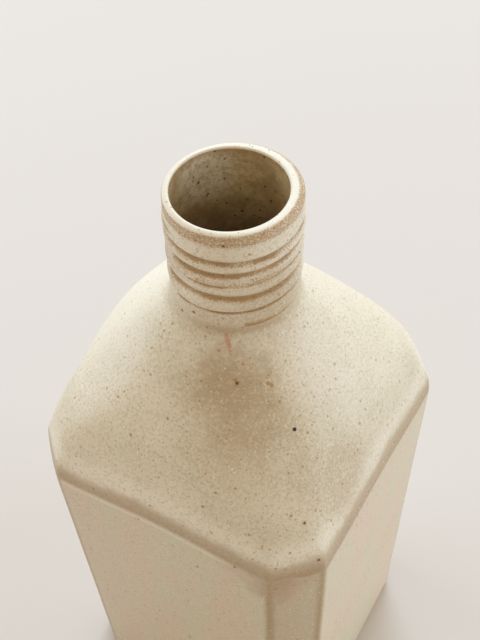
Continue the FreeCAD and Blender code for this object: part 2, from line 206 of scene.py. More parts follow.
SIDE_SHARES = crowded(SIDE_STEPS)
EDGE_SHARES = np.linspace(0.0, 1.0, EDGE_STEPS + 1)
CORNER_SHARES = np.linspace(0.0, 1.0, CORNER_STEPS + 1)


class Outline:
    """One level line round the bottle: four sides, four cut corners and eight soft edges.

    points holds x, y and height of every column; from_edge is each column's distance along
    the line from the middle of its soft edge, positive towards the side.
    """

    def __init__(self, face, face_height, corner, corner_height, softness, side_turn, corner_turn):
        side_end = side_turn / 2
        soft_end = EIGHTH_TURN - corner_turn / 2
        side_radius, corner_radius = self.radii(face, corner, softness, side_end, soft_end)
        side_centre = face - side_radius
        soft_x = side_centre + (side_radius - softness) * math.cos(side_end)
        soft_y = (side_radius - softness) * math.sin(side_end)
        corner_centre = (corner - corner_radius) / math.sqrt(2)

        side_turns = side_end * SIDE_SHARES
        soft_turns = side_end + (soft_end - side_end) * EDGE_SHARES
        corner_turns = soft_end + (EIGHTH_TURN - soft_end) * CORNER_SHARES
        x = np.concatenate([side_centre + side_radius * np.cos(side_turns[:-1]),
                            soft_x + softness * np.cos(soft_turns[:-1]),
                            corner_centre + corner_radius * np.cos(corner_turns)])
        y = np.concatenate([side_radius * np.sin(side_turns[:-1]),
                            soft_y + softness * np.sin(soft_turns[:-1]),
                            corner_centre + corner_radius * np.sin(corner_turns)])
        steps = np.hypot(np.diff(x), np.diff(y))
        along = np.concatenate([[0.0], np.cumsum(steps)])
        from_edge = along[SIDE_STEPS + EDGE_STEPS // 2] - along

        # The eighth is mirrored over the corner to a quarter, which goes round four times.
        quarter_x = np.concatenate([x, y[-2:0:-1]])
        quarter_y = np.concatenate([y, x[-2:0:-1]])
        quarter_edge = np.concatenate([from_edge, from_edge[-2:0:-1]])
        turns = [(1, 0), (0, 1), (-1, 0), (0, -1)]
        east = np.concatenate([quarter_x * c - quarter_y * s for c, s in turns])
        north = np.concatenate([quarter_x * s + quarter_y * c for c, s in turns])
        lean = np.sin(2 * np.arctan2(north, east)) ** 2
        height = face_height + (corner_height - face_height) * lean
        self.points = np.stack([east, north, height], axis=1)
        self.from_edge = np.tile(quarter_edge, 4)

    @staticmethod
    def radii(face, corner, softness, side_end, soft_end):
        """Radii of side and corner that let the three arcs of an eighth meet smoothly."""
        reach = corner / math.sqrt(2)
        half = math.sqrt(0.5)
        matrix = [[math.cos(side_end) - 1, half - math.cos(soft_end)],
                  [math.sin(side_end), half - math.sin(soft_end)]]
        right = [reach - face + softness * (math.cos(side_end) - math.cos(soft_end)),
                 reach - softness * (math.sin(soft_end) - math.sin(side_end))]
        return np.linalg.solve(matrix, right)


def circle(radius, height):
    """A level circle with the same columns as an outline."""
    return Outline(radius, height, radius, height, radius, ROUND_TURN, ROUND_TURN)


def bezier(points, at):
    """A point on the cubic curve with these four control points, each (radius, height)."""
    back = 1 - at
    weights = (back ** 3, 3 * back ** 2 * at, 3 * back * at ** 2, at ** 3)
    return [sum(w * p[i] for w, p in zip(weights, points)) for i in (0, 1)]


def corner_distance(width, cut):
    """How far from the axis a corner lies when cut is taken off both of its sides."""
    return (width - cut) / math.sqrt(2)


class Skin:
    """The outlines of one skin of the clay, outside or inside, from the foot up to the neck."""

    def __init__(self, form, foot, edge_face, edge_corner, neck, softness,
                 foot_height, foot_round, edge_round):
        self.form = form
        self.foot = foot
        self.edge_face = edge_face
        self.edge_corner = edge_corner
        self.softness = softness
        self.foot_height = foot_height
        self.foot_round = foot_round
        self.face_line = self.shoulder_line(edge_face, neck, form.face_rise)
        self.corner_line = self.shoulder_line(edge_corner, neck, form.ridge_rise)
        self.start = edge_round / (3 * form.face_rise)
        self.wall_end = 1 - edge_round / (edge_face[1] - foot_height)

    def shoulder_line(self, edge, neck, rise):
        """Control points of the shoulder from its edge to the neck, each (radius, height)."""
        form = self.form
        above = (edge[0] - rise * math.sin(form.shoulder_lean),
                 edge[1] + rise * math.cos(form.shoulder_lean))
        below = (neck[0] + form.flare_reach * math.sin(form.neck_flare),
                 neck[1] - form.flare_reach * math.cos(form.neck_flare))
        return edge, above, below, neck

    def body_outline(self, face, face_height, corner, corner_height, inset=0.0):
        """The body's squared outline, drawn in by the inset."""
        return Outline(face - inset, face_height, corner - inset, corner_height,
                       self.softness - inset / 2, self.form.side_crown, self.form.corner_crown)

    def foot_rows(self, count):
        """The rounded foot, from underneath up to the wall."""
        for i in range(count):
            turn = QUARTER_TURN * i / count
            inset = self.foot_round * (1 - math.sin(turn))
            height = self.foot_height + self.foot_round * (1 - math.cos(turn))
            yield self.body_outline(self.foot[0], height, self.foot[1], height, inset)

    def wall_values(self, at):
        """Side and corner distances, each with its height, at this share of the wall."""
        low = (self.foot[0], self.foot_height, self.foot[1], self.foot_height)
        high = (self.edge_face[0], self.edge_face[1], self.edge_corner[0], self.edge_corner[1])
        return [a + (b - a) * at for a, b in zip(low, high)]

    def wall_rows(self, count):
        """The wall, with rows that crowd towards its top."""
        first = self.foot_round / (self.edge_face[1] - self.foot_height)
        for i in range(count):
            at = first + (self.wall_end - first) * math.sin(QUARTER_TURN * i / count)
            yield self.body_outline(*self.wall_values(at))

    def edge_rows(self, count):
        """The rounded shoulder edge, between the wall and the start of the shoulder."""
        low = self.wall_values(self.wall_end)
        peak = self.wall_values(1.0)
        high = bezier(self.face_line, self.start) + bezier(self.corner_line, self.start)
        for i in range(count):
            at = i / count
            weights = ((1 - at) ** 2, 2 * (1 - at) * at, at ** 2)
            values = [weights[0] * a + weights[1] * b + weights[2] * c
                      for a, b, c in zip(low, peak, high)]
            yield self.body_outline(*values)

    def shoulder_row(self, at):
        """The outline at this share of the shoulder, squared at its edge and round at the neck."""
        face, face_height = bezier(self.face_line, at)
        corner, corner_height = bezier(self.corner_line, at)
        roundness = (at - self.start) / (1 - self.start)
        softness = self.softness + (face - self.softness) * roundness
        side_turn = self.form.side_crown + (ROUND_TURN - self.form.side_crown) * roundness
        corner_turn = self.form.corner_crown + (ROUND_TURN - self.form.corner_crown) * roundness
        return Outline(face, face_height, corner, corner_height, softness, side_turn, corner_turn)

    def shoulder_rows(self, count, end=1.0):
        """The shoulder from its edge up to this share of it."""
        for i in range(count):
            yield self.shoulder_row(self.start + (end - self.start) * i / count)


def outer_skin(form):
    """The outside of the body and shoulder."""
    return Skin(form,
                foot=(form.foot_width / 2, corner_distance(form.foot_width, form.foot_corner_cut)),
                edge_face=(form.body_width / 2, form.edge_height),
                edge_corner=(corner_distance(form.body_width, form.corner_cut),
                             form.edge_height - form.edge_arch),
                neck=(form.neck_diameter / 2, form.neck_foot),
                softness=form.corner_softness, foot_height=0.0,
                foot_round=form.foot_round, edge_round=form.edge_round)


def inner_skin(form):
    """The hollow inside, a wall's thickness in, with rounder corners."""
    foot_width = form.foot_width - 2 * form.body_wall
    body_width = form.body_width - 2 * form.body_wall
    more_cut = 2 * (form.inner_softness - form.corner_softness) * (1 - math.sqrt(0.5))
    edge = form.edge_height - form.shoulder_thickening
    return Skin(form,
                foot=(foot_width / 2,
                      corner_distance(foot_width, form.foot_corner_cut + more_cut)),
                edge_face=(body_width / 2, edge),
                edge_corner=(corner_distance(body_width, form.corner_cut + more_cut),
                             edge - form.edge_arch),
                neck=(form.neck_diameter / 2 - form.neck_wall,
                      form.neck_foot - form.shoulder_thickening),
                softness=form.inner_softness, foot_height=form.foot_wall,
                foot_round=form.body_wall, edge_round=form.edge_round + form.body_wall)


# ---------------------------------------------------------------- neck with its throwing rings

# Each ring: drop below the lip and half width (mm), depth and stain as shares of the deepest and
# darkest, tilt (mm), and the turns between which it shows (degrees from +X), None for all round.
# Those without depth are stains alone.
THROWING_RINGS = [
    (2.6, 1.4, 0.10, 0.50, 0.3, None),
    (6.1, 0.55, 0.35, 0.80, 1.4, (-150, -113)),
    (10.1, 1.0, 0.90, 1.00, 0.6, None),
    (14.6, 1.25, 1.00, 1.00, 0.9, (-116, 190)),
    (12.9, 1.6, 0.00, 0.50, 0.9, (-48, 4)),
    (17.6, 1.7, 0.15, 0.56, 0.7, (-92, 24)),
    (18.9, 0.5, 0.35, 0.85, 0.8, (-100, 20)),
    (24.1, 1.35, 1.00, 1.05, 0.2, None),
    (29.6, 0.42, 0.60, 0.95, 0.9, (-116, 40)),
    (35.2, 1.7, 0.45, 0.80, -1.0, (-52, 90)),
    (36.9, 1.3, 0.20, 0.60, 0.0, (-76, -38)),
]
FRONT = math.radians(-58.0)

# Degrees over which a ring fades in at the start of its turns, and out at their end.
SPAN_START = 4
SPAN_END = 24

# How far a ring reaches and wanders from its line, how much wider its hollow is than its
# stain, the ridges beside it, how far the stain runs down (mm), and how the stain comes and goes.
RING_REACH = 4.0
RING_WANDER = 0.45
HOLLOW_WIDTH = 1.15
RIDGE_HEIGHT = 0.4
RIDGE_PLACE = 1.9
STAIN_DROP = 0.15
STAIN_MIDDLE = 0.85
STAIN_SWING = 0.4

# Rows over which the rings fade in above the shoulder, and how much of the wall at the lip its
# outer and inner rounding may take.
PLAIN_ROWS = 6
LIP_OUTER_SHARE = 0.7
LIP_INNER_SHARE = 0.28


def between(turn, span):
    """1 inside a span of turns (degrees), fading in over its start and out over its end."""
    if span is None:
        return 1.0
    first, last = span
    degrees = math.degrees(turn)
    while degrees < first - 90:
        degrees += 360
    rise = min(1.0, max(0.0, (degrees - first) / SPAN_START + 0.5))
    fall = min(1.0, max(0.0, (last - degrees) / SPAN_END + 0.5))
    return rise * fall


def ring_marks(drop, turn):
    """Relief (inwards) and stain of the rings at a drop (mm) and a turn, as shares.

    Each hollow has a low ridge of pushed-up clay along both sides.
    """
    hollow = 0.0
    stain = 0.0
    along = Vector((math.cos(turn), math.sin(turn), 0.0))
    for centre, half_width, depth, colouring, tilt, span in THROWING_RINGS:
        wander = RING_WANDER * noise.noise(along * 1.5 + Vector((0.0, 0.0, centre)))
        away = drop - centre + tilt * math.sin(turn - FRONT) - wander
        if abs(away) > RING_REACH:
            continue
        shown = between(turn, span)
        patchy = noise.noise(along * 2.4 + Vector((0.0, 0.0, centre + 40)))
        fade = STAIN_MIDDLE + STAIN_SWING * patchy
        reach = away / (half_width * HOLLOW_WIDTH)
        ridge = RIDGE_HEIGHT * math.exp(-(abs(reach) - RIDGE_PLACE) ** 2)
        hollow += shown * depth * (math.exp(-reach * reach) - ridge)
        reach = (away - STAIN_DROP) / half_width
        stain = max(stain, shown * colouring * min(1.0, fade) * math.exp(-reach * reach))
    return hollow, stain


def neck_reach(form, ways, height):
    """How far the outside of the neck lies from the bore's axis, along each of these ways."""
    low = form.neck_foot
    share_up = min(1.0, max(0.0, (height - low) / (CAD_HIGH[2] - low)))
    shift = form.neck_foot_shift + (form.neck_shift - form.neck_foot_shift) * share_up
    turned = FRONT + QUARTER_TURN
    along = shift * (ways @ np.array([math.cos(turned), math.sin(turned)]))
    radius = form.neck_diameter / 2
    return along + np.sqrt(radius ** 2 - shift ** 2 + along ** 2)


def neck_row(form, height):
    """One level line round the plain neck."""
    row = circle(1.0, height)
    ways = row.points[:, :2].copy()
    row.points[:, :2] = ways * neck_reach(form, ways, height)[:, None]
    return row


def neck_rows(form, bottom, count):
    """The ringed neck, from the shoulder's blend up to the lip."""
    top = CAD_HIGH[2] - form.lip_radius
    for i in range(count):
        height = bottom + (top - bottom) * i / count
        row = neck_row(form, height)
        drop = (CAD_HIGH[2] - height) / MM
        fade_in = min(1.0, i / PLAIN_ROWS)
        row.stain = np.zeros(COLUMNS)
        for column, (x, y, z) in enumerate(row.points):
            hollow, row.stain[column] = ring_marks(drop, math.atan2(y, x))
            row.points[column, :2] *= 1 - fade_in * hollow * form.ring_depth / math.hypot(x, y)
        yield row


def lip_rows(form, count):
    """The rounded lip, over the top and into the bore, as round as the wall allows."""
    bore = form.neck_diameter / 2 - form.neck_wall
    ways = circle(1.0, 0.0).points[:, :2]
    reach = neck_reach(form, ways, CAD_HIGH[2])
    outer = np.minimum(form.lip_radius, (reach - bore) * LIP_OUTER_SHARE)
    inner = np.minimum(form.lip_inner_radius, (reach - bore) * LIP_INNER_SHARE)
    turns = [(outer, reach - outer, QUARTER_TURN * i / count) for i in range(count + 1)]
    turns += [(inner, bore + inner, QUARTER_TURN * (1 + i / count)) for i in range(count)]
    for rounding, middle, turn in turns:
        row = circle(1.0, 0.0)
        row.points[:, :2] = ways * (middle + rounding * math.cos(turn))[:, None]
        row.points[:, 2] = CAD_HIGH[2] - rounding * (1 - math.sin(turn))
        yield row


def bore_rows(form, bottom, count):
    """The bore, from the lip down to the hollow shoulder."""
    radius = form.neck_diameter / 2 - form.neck_wall
    top = CAD_HIGH[2] - form.lip_inner_radius
    for i in range(count):
        yield circle(radius, top + (bottom - top) * i / count)


# ---------------------------------------------------------------- the bottle's mesh

OUTSIDE, INSIDE, FOOT = 0, 1, 2

# Rows of points along each stretch of the clay.
FOOT_ROWS = 5
WALL_ROWS = 34
EDGE_ROWS = 12
SHOULDER_ROWS = 80
BLEND_ROWS = 12
NECK_ROWS = 140
LIP_ROWS = 6
BORE_ROWS = 30
INNER_SHOULDER_ROWS = 24
INNER_EDGE_ROWS = 6
INNER_WALL_ROWS = 12

# Rings of points under the foot and on the floor inside, as shares of their outlines.
FOOT_SHARES = (0.25, 0.5, 0.75, 0.92)
FLOOR_SHARES = (0.75, 0.5, 0.25)

# The shoulder edge is measured from this many rows below the last row of its rounding, and
# the hollow at the neck takes up more of the shoulder's curve as this number falls.
ROWS_PAST_EDGE = 4
BLEND_SPEED = 2.2


def blend_rows(below, above, middle, count):
    """A smooth hollow from the row below to the row above, drawn towards the middle row."""
    for i in range(count):
        at = i / count
        row = circle(1.0, 0.0)
        row.points = ((1 - at) ** 2 * below.points + 2 * at * (1 - at) * middle.points
                      + at ** 2 * above.points)
        row.from_edge = below.from_edge
        yield row


def bottle_rows(form):
    """All the outlines of the clay in order, as (row, surface).

    They run from the middle of the foot up the outside, over the lip and down the inside.
    """
    outer = outer_skin(form)
    inner = inner_skin(form)
    rows = []

    def add(new_rows, surface):
        rows.extend((row, surface) for row in new_rows)

    foot = outer.body_outline(outer.foot[0], 0.0, outer.foot[1], 0.0, outer.foot_round)
    add([shrunk(foot, part) for part in FOOT_SHARES], FOOT)
    add(outer.foot_rows(FOOT_ROWS), OUTSIDE)
    add(outer.wall_rows(WALL_ROWS), OUTSIDE)
    add(outer.edge_rows(EDGE_ROWS), OUTSIDE)
    edge_index = len(rows)

    blend_start = 1 - form.neck_blend / (BLEND_SPEED * form.flare_reach)
    add(outer.shoulder_rows(SHOULDER_ROWS, blend_start), OUTSIDE)
    neck_start = form.neck_foot + form.neck_blend
    add(blend_rows(outer.shoulder_row(blend_start), neck_row(form, neck_start),
                   neck_row(form, form.neck_foot), BLEND_ROWS), OUTSIDE)
    add(neck_rows(form, neck_start, NECK_ROWS), OUTSIDE)
    add(lip_rows(form, LIP_ROWS), OUTSIDE)
    mouth_index = len(rows)

    inner_neck = form.neck_foot - form.shoulder_thickening
    add(bore_rows(form, inner_neck, BORE_ROWS), INSIDE)
    for downwards in (inner.shoulder_rows(INNER_SHOULDER_ROWS), inner.edge_rows(INNER_EDGE_ROWS),
                      inner.wall_rows(INNER_WALL_ROWS), inner.foot_rows(FOOT_ROWS)):
        add(reversed(list(downwards)), INSIDE)
    add([shrunk(rows[-1][0], part) for part in FLOOR_SHARES], INSIDE)
    return rows, edge_index, mouth_index


def shrunk(row, part):
    """The same outline, drawn in towards the axis."""
    small = circle(1.0, 0.0)
    small.points = row.points * (part, part, 1.0)
    small.from_edge = row.from_edge
    return small


def make_clay(form):
    """The bottle's mesh, with its measures on every point.

    They are the mm from the shoulder edge, from the mouth's inner edge and from the upright
    edges, and the stain of the throwing rings.
    """
    rows, edge_index, mouth_index = bottle_rows(form)
    points = np.concatenate([row.points for row, surface in rows])
    first = rows[0][0].points[:, 2].mean()
    last = rows[-1][0].points[:, 2].mean()
    points = np.concatenate([points, [[0.0, 0.0, first], [0.0, 0.0, last]]])

    faces = []
    for level in range(len(rows) - 1):
        here = level * COLUMNS
        above = here + COLUMNS
        for column in range(COLUMNS):
            beside = (column + 1) % COLUMNS
            faces.append((here + column, here + beside, above + beside, above + column))
    surfaces = [surface for row, surface in rows[:-1] for column in range(COLUMNS)]
    top = (len(rows) - 1) * COLUMNS
    under_centre = len(points) - 2
    floor_centre = len(points) - 1
    for column in range(COLUMNS):
        beside = (column + 1) % COLUMNS
        faces.append((under_centre, beside, column))
        surfaces.append(FOOT)
        faces.append((floor_centre, top + column, top + beside))
        surfaces.append(INSIDE)

    mesh = bpy.data.meshes.new("glazed_bottle")
    mesh.from_pydata(points.tolist(), [], faces)
    mesh.polygons.foreach_set("material_index", surfaces)
    mesh.polygons.foreach_set("use_smooth", [True] * len(faces))

    stack = np.stack([row.points for row, surface in rows])
    steps = np.linalg.norm(np.diff(stack, axis=0), axis=2)
    along = np.concatenate([np.zeros((1, COLUMNS)), np.cumsum(steps, axis=0)])
    unstained = np.zeros(COLUMNS)
    measures = {
        "from_shoulder": (along - along[edge_index - ROWS_PAST_EDGE]) / MM,
        "from_mouth": (along - along[mouth_index]) / MM,
        "from_corner": np.stack([row.from_edge for row, surface in rows]) / MM,
        "ring_stain": np.stack([getattr(row, "stain", unstained) for row, surface in rows]),
    }
    for name, values in measures.items():
        store(mesh, name, values.ravel())
    mesh.update()
    return mesh


def store(mesh, name, values):
    """Keep one measure on every point of the mesh; the two middle points take zero."""
    layer = mesh.attributes.new(name, "FLOAT", "POINT")
    padded = np.zeros(len(mesh.vertices), dtype=np.float32)
    padded[:len(values)] = values
    layer.data.foreach_set("value", padded)


# Where the hand left the shoulder fuller, or hollower with a lift below 0: turn (degrees
# from +X), height, spread and lift (mm).
FULL_PLACES = [
    (176.0, 180.0, 24.0, 1.0),
    (150.0, 168.0, 22.0, 0.5),
    (166.0, 201.0, 17.0, -2.0),
    (76.0, 201.0, 17.0, -1.4),
]


def fullness(spot):
    """How far the hand left the clay fuller at this spot, in mm; below 0 it is hollower."""
    lift = 0.0
    for degrees, height, spread, most in FULL_PLACES:
        turn = math.radians(degrees)
        reach = math.hypot(spot.x, spot.y)
        across = math.atan2(spot.y, spot.x) - turn
        across = (across + math.pi) % (2 * math.pi) - math.pi
        away = math.hypot(across * reach, spot.z - height) / spread
        lift += most * math.exp(-away * away)
    return lift


# The hand's unevenness, as noises of three sizes: size (mm), share, and where each is read.
WOBBLES = [
    (26.0, 0.34, (0.0, 0.0, 0.0)),
    (7.0, 0.11, (9.0, 4.0, 2.0)),
    (2.2, 0.05, (3.0, 8.0, 5.0)),
]


def wobble(mesh, form):
    """Move the points along their normals, by no more than a hand leaves uneven."""
    count = len(mesh.vertices)
    points = np.empty(count * 3)
    normals = np.empty(count * 3)
    mesh.vertices.foreach_get("co", points)
    mesh.vertices.foreach_get("normal", normals)
    points = points.reshape(-1, 3)
    normals = normals.reshape(-1, 3)
    for index, point in enumerate(points):
        spot = Vector(point) / MM
        amount = 0.5
        for size, strength, offset in WOBBLES:
            amount += strength * noise.noise(spot / size + Vector(offset))
        settled = min(1.0, max(0.0, point[2] / (3 * form.foot_round)))
        outwards = np.dot(normals[index][:2], point[:2]) > 0
        lift = fullness(spot) * MM if outwards else 0.0
        point += normals[index] * (lift - form.hand_wobble * amount * settled)
    mesh.vertices.foreach_set("co", points.ravel())
    mesh.update()


# Marks of the fire on this bottle by kind, each as its turn (degrees from +X), height and
# radius (mm).
FIRE_MARKS = {
    "black": [
        (-35.1, 176.9, 0.62),
    ],
    "iron": [
        (-59.3, 189.6, 0.50), (-65.0, 237.0, 0.42), (-95.6, 207.0, 0.42),
        (-110.0, 204.0, 0.40), (-41.0, 156.5, 0.40), (-38.7, 142.5, 0.45),
        (-62.0, 138.0, 0.38), (-75.5, 125.0, 0.35),
    ],
    "amber": [
        (-60.2, 190.4, 0.60), (-39.7, 187.8, 0.70), (-41.5, 188.4, 0.60), (-72.5, 157.5, 0.55),
        (-68.0, 163.5, 0.45), (-106.0, 169.0, 0.55), (-120.0, 174.5, 0.50),
        (-93.0, 177.5, 0.45), (-32.0, 151.0, 0.45), (-51.0, 133.0, 0.80),
    ],
    "pink": [
        (-66.6, 201.6, 0.60), (-66.0, 200.8, 0.75), (-65.2, 199.9, 0.80), (-65.0, 199.0, 0.70),
        (-64.2, 198.2, 0.65), (-63.4, 197.2, 0.50),
    ],
    # White grains of sand, partly painted glints.
    "sand_and_glints": [
        (-63.3, 171.0, 0.30), (-62.1, 170.6, 0.34), (-61.5, 169.9, 0.30), (-50.8, 145.5, 0.34),
        (-49.6, 145.2, 0.26), (-52.4, 145.9, 0.28), (-30.0, 155.0, 0.32),
        (-109.0, 146.5, 0.30),
    ],
}


def marked_places(mesh):
    """The fire marks by kind, each as its point on the surface (mm) and its radius."""
    tree = BVHTree.FromPolygons([vertex.co for vertex in mesh.vertices],
                                [polygon.vertices for polygon in mesh.polygons])

    def place(degrees, height, radius):
        turn = math.radians(degrees)
        outwards = Vector((math.cos(turn), math.sin(turn), 0.0))
        start = outwards * CAD_HIGH[0] * 2 + Vector((0.0, 0.0, height * MM))
        return tree.ray_cast(start, -outwards)[0] / MM, radius

    return {kind: [place(*mark) for mark in marks] for kind, marks in FIRE_MARKS.items()}


# ---------------------------------------------------------------- shader building blocks

# Sockets of the mix node that hold colours.
MIX_FIRST, MIX_SECOND, MIX_RESULT = 6, 7, 2


class Graph:
    """Short ways to add nodes to one node tree and link them."""

    def __init__(self, tree):
        self.tree = tree

    def node(self, kind, **settings):
        """A new node of this kind with these settings."""
        made = self.tree.nodes.new(kind)
        for name, value in settings.items():
            setattr(made, name, value)
        return made

    def feed(self, socket, value):
        """Link an output to the socket, or set the socket to a plain value."""
        if isinstance(value, bpy.types.NodeSocket):
            self.tree.links.new(value, socket)
        elif socket.type == "RGBA":
            socket.default_value = (*value[:3], 1.0)
        else:
            socket.default_value = value

    def math(self, operation, first, *others):
        """The values joined one after the other by the operation."""
        joined = first
        for value in others:
            made = self.node("ShaderNodeMath", operation=operation)
            self.feed(made.inputs[0], joined)
            self.feed(made.inputs[1], value)
            joined = made.outputs[0]
        return joined

    def plus(self, *values):
        return self.math("ADD", *values)

    def minus(self, first, second):
        return self.math("SUBTRACT", first, second)

    def times(self, *values):
        return self.math("MULTIPLY", *values)

    def most(self, *values):
        return self.math("MAXIMUM", *values)

    def band(self, value, low, high, to_low=0.0, to_high=1.0):
        """value as it rises from low to high, smoothly mapped to the two new ends."""
        made = self.node("ShaderNodeMapRange", interpolation_type="SMOOTHSTEP")
        for socket, number in zip(made.inputs[:5], (value, low, high, to_low, to_high)):
            self.feed(socket, number)
        return made.outputs[0]

    def ridge(self, value, centre, half_width):
        """1 where value is at the centre, falling smoothly to 0 at the half width."""
        away = self.math("ABSOLUTE", self.minus(value, centre), 0.0)
        return self.band(away, half_width, 0.0)

    def mix(self, amount, first, second):
        """The first colour, turning into the second as the amount rises to 1."""
        made = self.node("ShaderNodeMix", data_type="RGBA", blend_type="MIX")
        self.feed(made.inputs[0], amount)
        self.feed(made.inputs[MIX_FIRST], first)
        self.feed(made.inputs[MIX_SECOND], second)
        return made.outputs[MIX_RESULT]

    def coat(self, tone, colour, mask, strength=1.0):
        """tone with a colour laid over it where the mask is."""
        amount = mask if strength == 1.0 else self.times(mask, strength)
        return self.mix(amount, tone, colour)

    def noise(self, vector, scale, detail=3.0, roughness=0.55, output=0):
        """Fractal noise of this scale (per mm), as a value, or as a colour with output=1."""
        made = self.node("ShaderNodeTexNoise")
        self.feed(made.inputs["Vector"], vector)
        self.feed(made.inputs["Scale"], scale)
        self.feed(made.inputs["Detail"], detail)
        self.feed(made.inputs["Roughness"], roughness)
        return made.outputs[output]

    def swing(self, value, amount):
        """How far a noise is from its middle, times an amount."""
        return self.times(self.minus(value, 0.5), amount)

    def near(self, place, point, reach, core=0.0):
        """1 within the core of a point (mm), falling smoothly to 0 at the reach."""
        made = self.node("ShaderNodeVectorMath", operation="DISTANCE")
        self.feed(made.inputs[0], place)
        self.feed(made.inputs[1], tuple(point))
        return self.band(made.outputs["Value"], reach, core)

    def patches(self, place, table):
        """The strongest of these patches, each its point, reach, core (mm) and strength."""
        return self.most(*[self.times(self.near(place, point, reach, core), strength)
                           for point, reach, core, strength in table])

    def marks(self, place, places):
        """1 on any of these (point, radius) marks, with soft edges."""
        return self.most(*[self.near(place, point, radius * MARK_REACH, radius * MARK_CORE)
                           for point, radius in places])

    def shifted(self, place, scale, amount):
        """place, shaken by noise of this scale (per mm) by up to about this much (mm)."""
        wander = self.node("ShaderNodeVectorMath", operation="SUBTRACT")
        self.feed(wander.inputs[0], self.noise(place, scale, detail=2.0, output=1))
        wander.inputs[1].default_value = (0.5, 0.5, 0.5)
        added = self.node("ShaderNodeVectorMath", operation="MULTIPLY_ADD")
        self.feed(added.inputs[0], wander.outputs[0])
        added.inputs[1].default_value = (amount, amount, amount)
        self.feed(added.inputs[2], place)
        return added.outputs[0]

    def measure(self, name):
        """One of the mesh's own measures."""
        return self.node("ShaderNodeAttribute", attribute_name=name).outputs["Fac"]

    def place_mm(self):
        """The point on the bottle, in millimetres."""
        made = self.node("ShaderNodeVectorMath", operation="SCALE")
        self.feed(made.inputs[0], self.node("ShaderNodeTexCoord").outputs["Object"])
        made.inputs["Scale"].default_value = 1 / MM
        return made.outputs[0]

    def group(self, tree, **values):
        """The one output of a node group that is fed these values."""
        made = self.node("ShaderNodeGroup", node_tree=tree)
        for name, value in values.items():
            self.feed(made.inputs[name.capitalize()], value)
        return made.outputs[0]


def new_group(name, inputs, output):
    """A shader node group with one output, and the graph inside it."""
    tree = bpy.data.node_groups.new(name, "ShaderNodeTree")
    for label, kind, default in inputs:
        socket = tree.interface.new_socket(name=label, in_out="INPUT", socket_type=kind)
        if default is not None:
            socket.default_value = default
    tree.interface.new_socket(name=output, in_out="OUTPUT", socket_type="NodeSocketFloat")
    graph = Graph(tree)
    return tree, graph, graph.node("NodeGroupInput").outputs, graph.node("NodeGroupOutput")


def specks_group():
    """Round specks of uneven size in random cells; Cell and Largest (a radius) are in mm."""
    tree, graph, given, result = new_group(
        "Specks",
        [("Place", "NodeSocketVector", None), ("Cell", "NodeSocketFloat", 3.0),
         ("Share", "NodeSocketFloat", 0.2), ("Largest", "NodeSocketFloat", 0.3)], "Mask")
    cells = graph.node("ShaderNodeTexVoronoi", feature="F1")
    graph.feed(cells.inputs["Vector"], graph.shifted(given["Place"], 1.6, 0.45))
    graph.feed(cells.inputs["Scale"], graph.math("DIVIDE", 1.0, given["Cell"]))
    parts = graph.node("ShaderNodeSeparateColor")
    graph.feed(parts.inputs[0], cells.outputs["Color"])
    lowest = graph.minus(1.0, given["Share"])
    chance = graph.math("DIVIDE", graph.minus(parts.outputs[0], lowest), given["Share"])
    radius = graph.times(chance, given["Largest"])
    away = graph.times(cells.outputs["Distance"], given["Cell"])
    graph.feed(result.inputs["Mask"], graph.band(graph.minus(radius, away), 0.0, SPECK_EDGE))
    return tree


def grain_group():
    """The fine relief of a matt stoneware glaze: orange-peel and grit."""
    tree, graph, given, result = new_group(
        "Glaze grain",
        [("Place", "NodeSocketVector", None), ("Grit", "NodeSocketFloat", 1.0)], "Height")
    peel = graph.noise(given["Place"], 0.55, detail=2.0)
    grit = graph.noise(given["Place"], 2.6, detail=4.0, roughness=0.7)
    height = graph.plus(graph.times(peel, 0.65), graph.times(grit, 0.35, given["Grit"]))
    graph.feed(result.inputs["Height"], height)
    return tree


def new_material(name):
    """A material with an empty tree, its graph and its shader."""
    material = bpy.data.materials.new(name)
    material.use_nodes = True
    material.node_tree.nodes.clear()
    graph = Graph(material.node_tree)
    shader = graph.node("ShaderNodeBsdfPrincipled")
    output = graph.node("ShaderNodeOutputMaterial")
    graph.feed(output.inputs["Surface"], shader.outputs[0])
    return material, graph, shader


def finish(graph, shader, tone, roughness, height, depth_mm):
    """Feed the shader its colour, its roughness, and a height as relief of this depth."""
    graph.feed(shader.inputs["Base Color"], tone)
    graph.feed(shader.inputs["Roughness"], roughness)
    bump = graph.node("ShaderNodeBump")
    bump.inputs["Strength"].default_value = 1.0
    bump.inputs["Distance"].default_value = depth_mm * MM
    graph.feed(bump.inputs["Height"], height)
    graph.feed(shader.inputs["Normal"], bump.outputs[0])


# ---------------------------------------------------------------- glaze and clay

# Soft edges of marks, as shares of their radius, and of specks (mm).
MARK_REACH = 1.35
MARK_CORE = 0.6
SPECK_EDGE = 0.14

# White of the sand grains in the glaze, partly painted glints.
SAND_AND_GLINT_WHITE = (1.0, 0.97, 0.88)

# Noises that break the glaze up: scale (per mm), detail and roughness.
CLOUD = (0.09, 5.0, 0.6)
RAGGED = (0.45, 4.0, 0.7)
FINE = (1.1, 4.0, 0.75)
GRIT = (2.1, 3.0, 0.7)

# Places on the glaze, and the height of the broken line round the neck's foot (mm).
FRONT_CORNER = (39.0, -49.0, 139.0)
# Rear-left shoulder: middle of a whiter patch, partly thick glaze and partly a painted highlight.
THICK_AND_LIT_PLACE = (-38.0, -2.0, 178.0)
RUN_TOP = (14.5, -25.0, 190.0)
RUN_LOW = (20.0, -33.0, 178.0)
NECK_FRONT = (13.0, -20.0, 203.0)
NECK_LINE = 203.0
# Pale patch on the bore's back-left wall: partly pooled glaze, partly a painted highlight.
BORE_POOL_AND_HIGHLIGHT = (-14.0, 9.0, 231.0)
